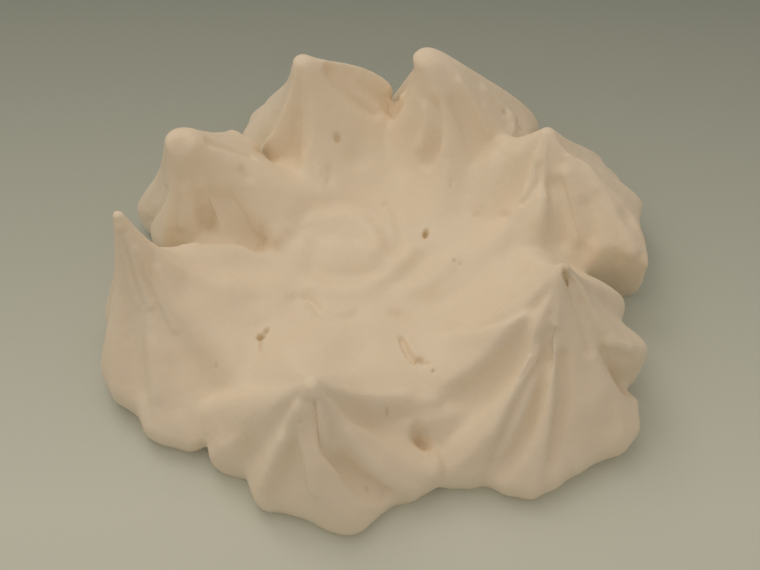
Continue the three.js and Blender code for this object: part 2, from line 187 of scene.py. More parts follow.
# %% The back left peak
BACK_LEFT_PEAK = dict(
    tip=(-12, 28, 25), tip_radius=1.5, fall=0.95, horn=0.12, spike=4, lean=(-0.5, 0.2),
    ribs=[
        rib(6, 14.5, 10.5, fall=0.8, horn=0),
        rib(16, 15.3, 13, fall=0.55, bulge=0.5, horn=0),
        rib(29, 14, 8, fall=0.6, horn=0),
        rib(51, 14.5, 5.5, groove=0.1),
        rib(75, 14.5, 5, bulge=0.8, groove=0.13),
        rib(100, 13.5, 5, bulge=0.8, groove=0.13),
        rib(125, 13, 5, bulge=0.5, groove=0.11, horn=0.25),
        rib(147, 12.5, 5, groove=0.08, horn=0.3),
        rib(168, 12, 5, horn=0.35),
        rib(189, 11.3, 5.5, fall=1.2, horn=0.3),
        rib(203, 9, 7, fall=1.5),
        rib(216, 9.5, 9, bulge=1.5, bend=12),
        rib(240, 9, 9, bulge=0.6),
        rib(256, 8.6, 9, fall=1.6),
        rib(270, 15, 9.5, fall=1.25),
        rib(296, 17, 9.5, fall=1.5),
        rib(318, 18, 9.5, fall=1.5),
        rib(337, 15, 10.5, fall=1.1, bulge=0.5),
        rib(353, 15.5, 12, fall=1, bulge=0.3),
    ],
)
print(len(BACK_LEFT_PEAK["ribs"]), "ribs")

# %% The back right peak
BACK_RIGHT_PEAK = dict(
    tip=(9, 27, 27), tip_radius=2.3, fall=0.9, horn=0.06, spike=3, lean=(-1.4, 0.2),
    ribs=[
        rib(14, 19.5, 6, fall=0.75, groove=0.06),
        rib(36, 17.5, 5.5, groove=0.1),
        rib(57, 16.5, 5, bulge=0.5, groove=0.13),
        rib(80, 15.5, 5, bulge=0.8, groove=0.13),
        rib(103, 13.5, 5.5, bulge=0.5, groove=0.1),
        rib(122, 12.5, 6),
        rib(138, 7, 12, fall=1.2, horn=0.4),
        rib(175, 6, 11, fall=1.2, horn=0.6),
        rib(205, 8.5, 11, bulge=0.5, horn=0.4),
        rib(235, 11, 9.5, fall=1.5),
        rib(257, 14.5, 9.5, fall=1.8, bend=10),
        rib(272, 20, 9.5, fall=1.4, bend=8),
        rib(292, 19, 9.5, fall=1.35),
        rib(310, 16, 10, fall=1.3),
        rib(334, 15, 12, bulge=0.5),
        rib(352, 17, 10, fall=1),
    ],
)
print(len(BACK_RIGHT_PEAK["ribs"]), "ribs")

# %% The right peak
RIGHT_PEAK = dict(
    tip=(27, 14, 23), tip_radius=0.9, fall=0.85, horn=0.1, spike=4, lean=(0, 0),
    ribs=[
        rib(14, 14, 7.5, groove=0.1),
        rib(36, 13.3, 8, groove=0.1),
        rib(55, 11.5, 7.5, groove=0.08),
        rib(75, 10.5, 7, groove=0.1),
        rib(105, 10.5, 6),
        rib(145, 10.5, 12),
        rib(176, 12, 12.5, fall=1.1),
        rib(208, 14, 9.5, fall=1.8, bend=30),
        rib(226, 22, 9.5, fall=1.1, bend=15),
        rib(250, 22, 9.5, fall=1.2),
        rib(264, 17, 10.5, bulge=0.6),
        rib(273, 16.5, 10.5, fall=1.2),
        rib(284, 17.5, 9, bulge=0.5),
        rib(291, 18, 9, fall=1.1),
        rib(297, 18.3, 12.3, bend=3, tuck=0.12),
        rib(303, 19, 13, bend=8, tuck=0.12),
        rib(308, 21.3, 12.5, bend=12, tuck=0.12),
        rib(312, 23.9, 10.5, bulge=0.5, bend=14, tuck=0.25),
        rib(317, 20.8, 8.5, fall=1.1, bend=12, tuck=0.15),
        rib(324, 17, 8, fall=1.1),
        rib(334, 18, 7.5, groove=0.08),
        rib(352, 17.3, 7.5, groove=0.09),
    ],
)
print(len(RIGHT_PEAK["ribs"]), "ribs")

# %% The front right peak
FRONT_RIGHT_PEAK = dict(
    tip=(27, -17, 27), tip_radius=0.9, fall=0.95, horn=0.22, spike=4, lean=(0, 0),
    ribs=[
        rib(16, 11.3, 9.5),
        rib(36, 14.5, 8.5, bulge=0.8),
        rib(70, 15, 8),
        rib(105, 20, 9),
        rib(124, 18, 10.5, fall=1.6),
        rib(150, 20, 9.5, fall=1.5),
        rib(173, 21, 10, fall=1.9, bend=4),
        rib(188, 24.5, 10.5, fall=1.4),
        rib(208, 23, 11, bend=8),
        rib(216, 25, 6, fall=1.25, bend=14),
        rib(224, 28, 4.5, bulge=1, bend=12),
        rib(231, 28.5, 4, bulge=2.2, bend=10),
        rib(238, 26.5, 4, bulge=1.5, bend=11),
        rib(243, 24.4, 3.5, fall=1.15, bend=13),
        rib(250, 25, 4, bulge=0.8, bend=10),
        rib(260, 24.7, 3.5, bulge=2, bend=4),
        rib(267, 23, 4, fall=1.1, bend=2),
        rib(277, 20.5, 4, bulge=0.8),
        rib(290, 19, 4, bulge=1),
        rib(302, 19.5, 4.5, bulge=1.5),
        rib(312, 18.7, 4.5, bulge=0.5),
        rib(324, 16, 5.5, fall=1.3, bend=-8),
        rib(335, 12.8, 4, fall=2.2, bend=-25, tuck=0.1),
        rib(341, 12.5, 4, fall=2.8, bend=-30, tuck=0.1),
        rib(347, 14.6, 10.5, fall=0.85, bulge=1.2, bend=-28, tuck=0.2),
    ],
)
print(len(FRONT_RIGHT_PEAK["ribs"]), "ribs")

# %% The front peak
FRONT_PEAK = dict(
    tip=(-9.5, -34, 22), tip_radius=0.9, fall=0.95, horn=0.08, spike=4, lean=(0, 0),
    ribs=[
        rib(4, 16, 8.5, fall=2.8),
        rib(14, 19.5, 11.5, fall=2.2),
        rib(59, 25, 9.5, fall=1.5),
        rib(105, 26, 9.5, fall=1.5),
        rib(143, 15, 9.5, fall=1.6),
        rib(160, 18, 7.5),
        rib(183, 16, 4, bulge=1.5),
        rib(199, 11, 4),
        rib(228, 12, 3.5, bulge=1.5),
        rib(243, 10.5, 3.5, fall=1.1),
        rib(259, 10.5, 3.5, bulge=0.8),
        rib(299, 14.5, 3, bulge=1.4, bend=-20),
        rib(316, 14, 3, bulge=0.8, bend=-24),
        rib(327, 14.5, 3, fall=1.6, bend=-20),
        rib(336, 17.5, 4.5, fall=1.8, bulge=1.5, bend=-8),
        rib(345, 19.7, 6, fall=2.2, bulge=1),
    ],
)
print(len(FRONT_PEAK["ribs"]), "ribs")

# %% The ring of peaks
PEAKS = [LEFT_HORN, LEFT_KNOB, BACK_LEFT_PEAK, BACK_RIGHT_PEAK, RIGHT_PEAK, FRONT_RIGHT_PEAK, FRONT_PEAK]
print(len(PEAKS), "peaks")

# %% [markdown]
# ## From a ball to a peak
#
# A peak is a closed form with one point on top and one under it, and so is a UV sphere. bmesh makes the
# sphere, and every one of its points is then pulled to its place: its direction round the axis says which
# ribs it lies between, and its row says how far down the flank it is. A grid would need a seam, and a
# sculpted sphere would lose the sharp grooves, so pulling the rows of a sphere is the simplest way.

# %% Between two ribs
GROOVE_START = 0.3  # share of the flank over which a groove deepens from the tip
GROOVE_ROUNDING = 1.3  # above 1 the ribs are broader than the grooves between them
FOOT_GROOVE = 0.6  # depth of a groove at the feet, as a share of its depth higher up


def ease(share):
    return share * share * (3 - 2 * share)


def between_ribs(peak, direction):
    """What the ribs say for an array of directions in degrees."""
    ribs = peak["ribs"]
    starts = np.array([each["direction"] for each in ribs], dtype=float)
    before = np.searchsorted(starts, direction, side="right") - 1
    after = (before + 1) % len(ribs)
    share = ((direction - starts[before]) % 360) / ((starts[after] - starts[before]) % 360)

    def read(name, weight):
        values = np.array([peak[name] if each[name] is None else each[name] for each in ribs], dtype=float)
        return values[before] * (1 - weight) + values[after] * weight

    said = {name: read(name, ease(share)) for name in ("reach", "foot", "fall", "bulge", "tuck", "horn")}
    said["bend"] = read("bend", share)
    said["groove"] = read("groove", 0) * np.sin(np.pi * share) ** GROOVE_ROUNDING
    return said


middle_reach = between_ribs(FRONT_PEAK, np.array([270.0]))["reach"][0]
print("the front peak reaches", round(middle_reach, 1), "mm towards the camera")

# %% A point on a flank
TIP_HEIGHT = 0.25  # height of the round cap on a tip, as a share of its radius
HOOK_SPAN = 0.3  # share of the flank over which a bent tip leans


def on_flank(peak, direction, said, down):
    """Places for down from 0 at the tip to 1 at the widest line of the foot."""
    tip = np.array(peak["tip"], dtype=float)
    up = 1 - down
    deepening = ease(np.minimum(1, down / GROOVE_START))
    cut = said["groove"] * (deepening * (1 - down ** 2) + FOOT_GROOVE * down ** 2)
    out = peak["tip_radius"] + (said["reach"] * (1 - cut) - peak["tip_radius"]) * down
    turn = np.radians(direction + said["bend"] * 4 * down * up)
    height = (1 - said["horn"]) * up ** said["fall"] + said["horn"] * up ** peak["spike"]
    cap_top = tip[2] - peak["tip_radius"] * TIP_HEIGHT
    leaning = np.maximum(0, 1 - down / HOOK_SPAN) ** 3
    x = tip[0] + out * np.cos(turn) + peak["lean"][0] * leaning
    y = tip[1] + out * np.sin(turn) + peak["lean"][1] * leaning
    z = said["foot"] + (cap_top - said["foot"]) * height + said["bulge"] * 4 * down * up
    return np.stack([x, y, z], axis=1)


print("flanks run from the tip outwards and down")

# %% The side of a foot
def on_side(peak, direction, said, under):
    """Places for under from 0 at a foot's widest line to 1 on the table."""
    foot = on_flank(peak, direction, said, np.ones_like(direction))
    out = foot[:, :2] - np.array(peak["tip"][:2])
    length = np.linalg.norm(out, axis=1)
    tucked = length - said["tuck"] * said["foot"] * (1 - np.sqrt(1 - under ** 2))
    flat = np.array(peak["tip"][:2]) + out * (tucked / length)[:, None]
    return np.column_stack([flat, said["foot"] * (1 - under)])


print("feet pull in by about", round(FOOT_TUCK * 5, 1), "mm under a foot 5 mm high")

# %% Pull a sphere into a peak
PEAK_COLUMNS = 360
FLANK_ROWS = 44
SIDE_ROWS = 8
CLOSING_ROWS = 3  # one from the tip to its round cap, and two under the table
ROW_CROWDING = 1.25  # above 1 the rows lie closer together near the tip
DEPTH_BELOW = 2  # the pieces run on under the table until the underside is cut


def sphere(columns, rows):
    """A bmesh sphere, with the direction in degrees and the row of each of its points."""
    ball = bmesh.new()
    bmesh.ops.create_uvsphere(ball, u_segments=columns, v_segments=rows, radius=1)
    points = np.array([corner.co[:] for corner in ball.verts])
    direction = np.round(np.degrees(np.arctan2(points[:, 1], points[:, 0])), 3) % 360
    row = np.rint(np.arccos(np.clip(points[:, 2], -1, 1)) / np.pi * rows)
    return ball, direction, row


def pulled_peak(peak):
    ball, direction, row = sphere(PEAK_COLUMNS, FLANK_ROWS + SIDE_ROWS + CLOSING_ROWS)
    said = between_ribs(peak, direction)
    down = np.clip((row - 1) / FLANK_ROWS, 0, 1) ** ROW_CROWDING
    under = np.clip((row - 1 - FLANK_ROWS) / SIDE_ROWS, 0, 1)
    flank = on_flank(peak, direction, said, down)
    side = on_side(peak, direction, said, under)
    places = np.where((row > FLANK_ROWS + 1)[:, None], side, flank)
    places[row > FLANK_ROWS + SIDE_ROWS + 1, 2] = -DEPTH_BELOW
    top, bottom = row.argmin(), row.argmax()
    places[top] = np.array(peak["tip"]) + [*peak["lean"], 0]
    places[bottom] = [peak["tip"][0], peak["tip"][1], -DEPTH_BELOW]
    places[:, :2] -= CENTRE
    for corner, place in zip(ball.verts, places):
        corner.co = place * MM
    return ball


first = pulled_peak(LEFT_HORN)
print("one peak has", len(first.verts), "points")
first.free()

# %% [markdown]
# ## The swirled floor
#
# Under the peaks lies a flat disc that was piped first, in a spiral from the middle. Its top is a shallow
# dish with one low ridge that winds outwards. It is another sphere, flattened: nearly all of its rows
# become rings of the dish, and the last four make its rounded side and close it under the table.

# %% Height of the floor
SWIRL_CENTRE = np.array([-5.4, 3.6])
DISC_MIDDLE = np.array([0.5, -4.0])
RIM_RADIUS = 29
SIDE_RADIUS = 33.5
SWIRL_RADIUS = 20  # where the swirl has faded out
SWIRL_EYE = 3  # radius of the middle, over which it fades in
SWIRL_PITCH = 9.5  # from one of its turns to the next
SWIRL_TURN = 2.2  # how far round it starts, in radians
SWIRL_DEPTH = 0.45
FLOOR_LEVEL = 9.0
RIM_RISE = 0.6  # how much higher the floor is at its rim


def floor_height(x, y):
    out = np.hypot(x - SWIRL_CENTRE[0], y - SWIRL_CENTRE[1])
    direction = np.arctan2(y - SWIRL_CENTRE[1], x - SWIRL_CENTRE[0])
    fade = np.minimum(1, out / SWIRL_EYE) * np.maximum(0, 1 - (out / SWIRL_RADIUS) ** 2)
    wave = np.cos(2 * np.pi * out / SWIRL_PITCH - direction + SWIRL_TURN)
    return FLOOR_LEVEL + RIM_RISE * (out / RIM_RADIUS) ** 2 + SWIRL_DEPTH * wave * fade


print("the floor is", round(float(floor_height(0, 0)), 1), "mm high in the middle")

# %% Pull a sphere into the floor
DISC_COLUMNS = 160
DISC_ROWS = 44
SHOULDER_LEVEL = 7.6  # height of the ring between the dish and its side
SIDE_LEVEL = 4  # height of the widest ring


def pulled_floor():
    ball, direction, row = sphere(DISC_COLUMNS, DISC_ROWS + 4)
    turn = np.radians(direction)
    share = np.clip(row / DISC_ROWS, 0, 1)
    middle = SWIRL_CENTRE + (DISC_MIDDLE - SWIRL_CENTRE) * share[:, None]
    radius = RIM_RADIUS * share
    radius[row == DISC_ROWS + 1] = (RIM_RADIUS + SIDE_RADIUS) / 2
    radius[row > DISC_ROWS + 1] = SIDE_RADIUS
    radius[row == DISC_ROWS + 4] = 0
    x = middle[:, 0] + radius * np.cos(turn)
    y = middle[:, 1] + radius * np.sin(turn)
    z = floor_height(x, y)
    z[row == DISC_ROWS + 1] = SHOULDER_LEVEL
    z[row == DISC_ROWS + 2] = SIDE_LEVEL
    z[row > DISC_ROWS + 2] = -DEPTH_BELOW
    for corner, place in zip(ball.verts, np.column_stack([x - CENTRE[0], y - CENTRE[1], z])):
        corner.co = place * MM
    return ball


print("rings on the floor:", DISC_ROWS)

# %% [markdown]
# ## One piece of foam
#
# Soft foam runs together wherever two blobs touch, so the eight forms have to become one skin. A boolean
# union would do it, but it leaves long thin faces along every seam. A voxel remesh lays one even skin over
# all of them and gives small square faces, which the folds and pits below need.

# %% Lay one skin over all forms
VOXEL = 0.36  # size of the skin's faces

heap = bpy.data.meshes.new("heap")
together = bmesh.new()
for form in [pulled_floor(), *map(pulled_peak, PEAKS)]:
    form.to_mesh(heap)
    form.free()
    together.from_mesh(heap)
together.to_mesh(heap)
together.free()

nest = bpy.data.objects.new("meringue_nest", heap)
scene.collection.objects.link(nest)


def settle(piece):
    """Makes the result of a piece's modifiers its own mesh."""
    shown = piece.evaluated_get(bpy.context.evaluated_depsgraph_get())
    made = bpy.data.meshes.new_from_object(shown)
    before = piece.data
    piece.modifiers.clear()
    piece.data = made
    bpy.data.meshes.remove(before)


skin = nest.modifiers.new("one_skin", "REMESH")
skin.mode = "VOXEL"
skin.voxel_size = VOXEL * MM
skin.use_smooth_shade = True
settle(nest)
print("the skin has", len(nest.data.vertices), "points")

# %% [markdown]
# ## Soften the skin
#
# Foam has no knife-sharp edges. A little smoothing everywhere takes the voxels' steps away. More of it
# away from the tips makes the flanks soft, and most of it in the middle lets the inner flanks flow into
# the floor, where the foam was softest. Two vertex groups say where: one grows with the distance from the
# nearest tip, and the other is 1 in the middle of the hollow and falls to 0 inside the ring of tips.

# %% Read and write points
def read_points(mesh):
    flat = np.empty(len(mesh.vertices) * 3, dtype=np.float32)
    mesh.vertices.foreach_get("co", flat)
    return flat.reshape(-1, 3).astype(float) / MM


def write_points(mesh, points):
    mesh.vertices.foreach_set("co", (points * MM).astype(np.float32).ravel())
    mesh.update()


print("highest point", round(read_points(nest.data)[:, 2].max(), 1), "mm")

# %% Smooth
HOLLOW_MIDDLE = (-2, 0)
HOLLOW_INNER = 18
HOLLOW_OUTER = 29
CRISP_RADIUS = 1.5  # round a tip the flanks stay crisp
SOFT_RADIUS = 6  # from here on they are fully soft
BLUNT_RADIUS = 1  # tips with a larger radius count as blunt
BLUNT_SOFTNESS = 3  # a blunt tip counts as this much farther away per mm of its radius
SMOOTHING = [
    # name of the modifier, rounds, vertex group
    ("all_over", 9, ""),
    ("flanks", 36, "flanks"),
    ("hollow", 50, "hollow"),
]


def falling(distance, inner, outer):
    return ease(np.clip((outer - distance) / (outer - inner), 0, 1))


def weight_group(piece, name, weight):
    group = piece.vertex_groups.new(name=name)
    for tenth in range(1, 11):
        chosen = np.flatnonzero(np.rint(weight * 10) == tenth)
        group.add(chosen.tolist(), tenth / 10, "REPLACE")


points = read_points(nest.data)
tips = np.array([np.array(peak["tip"][:2]) - CENTRE for peak in PEAKS])
blunt = np.array([max(0, peak["tip_radius"] - BLUNT_RADIUS) for peak in PEAKS]) * BLUNT_SOFTNESS
from_tips = (np.linalg.norm(points[:, None, :2] - tips[None], axis=2) + blunt).min(axis=1)
from_middle = np.linalg.norm(points[:, :2] - np.array(HOLLOW_MIDDLE), axis=1)
weight_group(nest, "flanks", 1 - falling(from_tips, CRISP_RADIUS, SOFT_RADIUS))
weight_group(nest, "hollow", falling(from_middle, HOLLOW_INNER, HOLLOW_OUTER))
for name, rounds, group in SMOOTHING:
    smoothing = nest.modifiers.new(name, "SMOOTH")
    smoothing.factor = 0.5
    smoothing.iterations = rounds
    smoothing.vertex_group = group
settle(nest)
nest.vertex_groups.clear()
print("softened", int((from_middle < HOLLOW_INNER).sum()), "points fully")

# %% [markdown]
# ## Folds
#
# Where the nozzle crossed its own work, it pushed soft folds and hollows into the foam. Each is a stroke
# along a curve through three or more places, with a width and a height: above zero it is a ridge, below
# zero a hollow. Places with two numbers are seen from above, and such a stroke lifts the skin straight up.
# On a steep flank a place needs its height too, and there the skin moves along its own normal.
# The first table is the CAD source's, but for the swirl, whose long curves are in the second table with
# the finer creases. A displacement texture would need an image of them, so the points are moved instead.

# %% One stroke
STROKE_STEPS = 32
STROKE_REACH = 3  # a stroke is not felt farther away than this many widths
STROKE_FADE = 2  # a stroke fades out over this many widths at each end
FREE_HEIGHT = 4  # height from which a stroke lifts the skin fully


def along_curve(places, steps=STROKE_STEPS):
    """Points of the smooth curve through three places, or through more of them."""
    places = np.array(places, dtype=float)
    if len(places) == 3:
        share = np.linspace(0, 1, steps + 1)[:, None]
        control = 2 * places[1] - (places[0] + places[2]) / 2
        return (1 - share) ** 2 * places[0] + 2 * share * (1 - share) * control + share ** 2 * places[2]
    ends = 2 * places[[0, -1]] - places[[1, -2]]
    padded = np.vstack([ends[:1], places, ends[1:]])
    piece = np.linspace(0, len(places) - 1, steps + 1)
    first = np.minimum(piece.astype(int), len(places) - 2)
    share = (piece - first)[:, None]
    before, start, end, after = (padded[first + step] for step in range(4))
    return 0.5 * (2 * start + (end - before) * share
                  + (2 * before - 5 * start + 4 * end - after) * share ** 2
                  + (3 * start - before - 3 * end + after) * share ** 3)


def stroke_lift(points, width, height, *places):
    curve = along_curve(places)
    seen = points[:, :curve.shape[1]]
    low, high = curve.min(axis=0) - STROKE_REACH * width, curve.max(axis=0) + STROKE_REACH * width
    near = np.flatnonzero(((seen > low) & (seen < high)).all(axis=1))
    nearest = np.full(len(near), np.inf)
    share = np.zeros(len(near))
    for step, (start, end) in enumerate(zip(curve[:-1], curve[1:])):
        run = end - start
        along = np.clip(((seen[near] - start) @ run) / (run @ run), 0, 1)
        distance = np.linalg.norm(seen[near] - start - along[:, None] * run, axis=1)
        closer = distance < nearest
        nearest[closer] = distance[closer]
        share[closer] = (step + along[closer]) / STROKE_STEPS
    lift = np.zeros(len(points))
    length = np.linalg.norm(np.diff(curve, axis=0), axis=1).sum()
    from_end = np.minimum(share, 1 - share) * length
    fading = ease(np.clip(from_end / min(STROKE_FADE * width, length / 2), 0, 1))
    lift[near] = height * fading * np.exp(-(nearest / width) ** 2)
    return lift


def lay_strokes(mesh, strokes):
    points = read_points(mesh)
    normals = np.array([normal.vector[:] for normal in mesh.vertex_normals])
    freedom = ease(np.clip(points[:, 2] / FREE_HEIGHT, 0, 1))
    moved = points.copy()
    for name, *places, width, height in strokes:
        lift = stroke_lift(points, width, height, *places) * freedom
        moved += lift[:, None] * (normals if len(places[0]) == 3 else np.array([0, 0, 1]))
    write_points(mesh, moved)
    return moved


print("a stroke has", STROKE_STEPS, "steps")

# %% Broad folds, as in the CAD source
BROAD_FOLDS = [
    ("knob front", (-34.5, 11), (-31.5, 10.3), (-28.5, 11), 2, -1.8),
    ("knob pocket", (-23, 7.5), (-20.5, 5), (-16, 3.5), 2, -1.4),
    ("back left hollow", (-5, 24.5), (-4.5, 21), (-3.5, 18), 2.2, -0.8),
    ("back notch", (-1, 31), (1.5, 30), (3, 25.5), 2, -0.6),
    ("back right edge", (22, 22.5), (19.5, 20.5), (16.5, 14), 1.8, 0.8),
    ("right leaf", (23.5, 14), (21, 12.5), (17.5, 12), 4, -1.2),
    ("right lip", (26.5, 10), (25.5, 6), (20.5, 4.5), 2, 1),
    ("front right leaf", (22.5, -15), (19, -10.5), (12.5, -10), 3.5, -1.4),
    ("front right lip", (23, -18), (17.5, -20), (9, -16.5), 2, 1),
    ("front valley", (-0.5, -12.5), (-5, -22), (-8.5, -30), 4, -1.2),
    ("front swell", (2.5, -18), (4.5, -22.5), (6.5, -27), 4, 0.7),
    ("horn valley", (-32.5, -9), (-30, -10), (-26.5, -11.5), 3, -0.7),
    ("horn shoulder", (-27, -8), (-22.5, -7.5), (-18, -8.5), 2.2, 0.7),
    ("horn shoulder end", (-18, -8.5), (-17.5, -11.5), (-17.5, -15.5), 2.5, 0.6),
    ("horn groove", (-28, -15.5), (-25, -21), (-24, -27), 2.8, -0.9),
    ("horn ridge", (-26, -15.5), (-21.5, -20), (-17.5, -27), 2.8, 0.5),
]
print(len(BROAD_FOLDS), "broad folds")

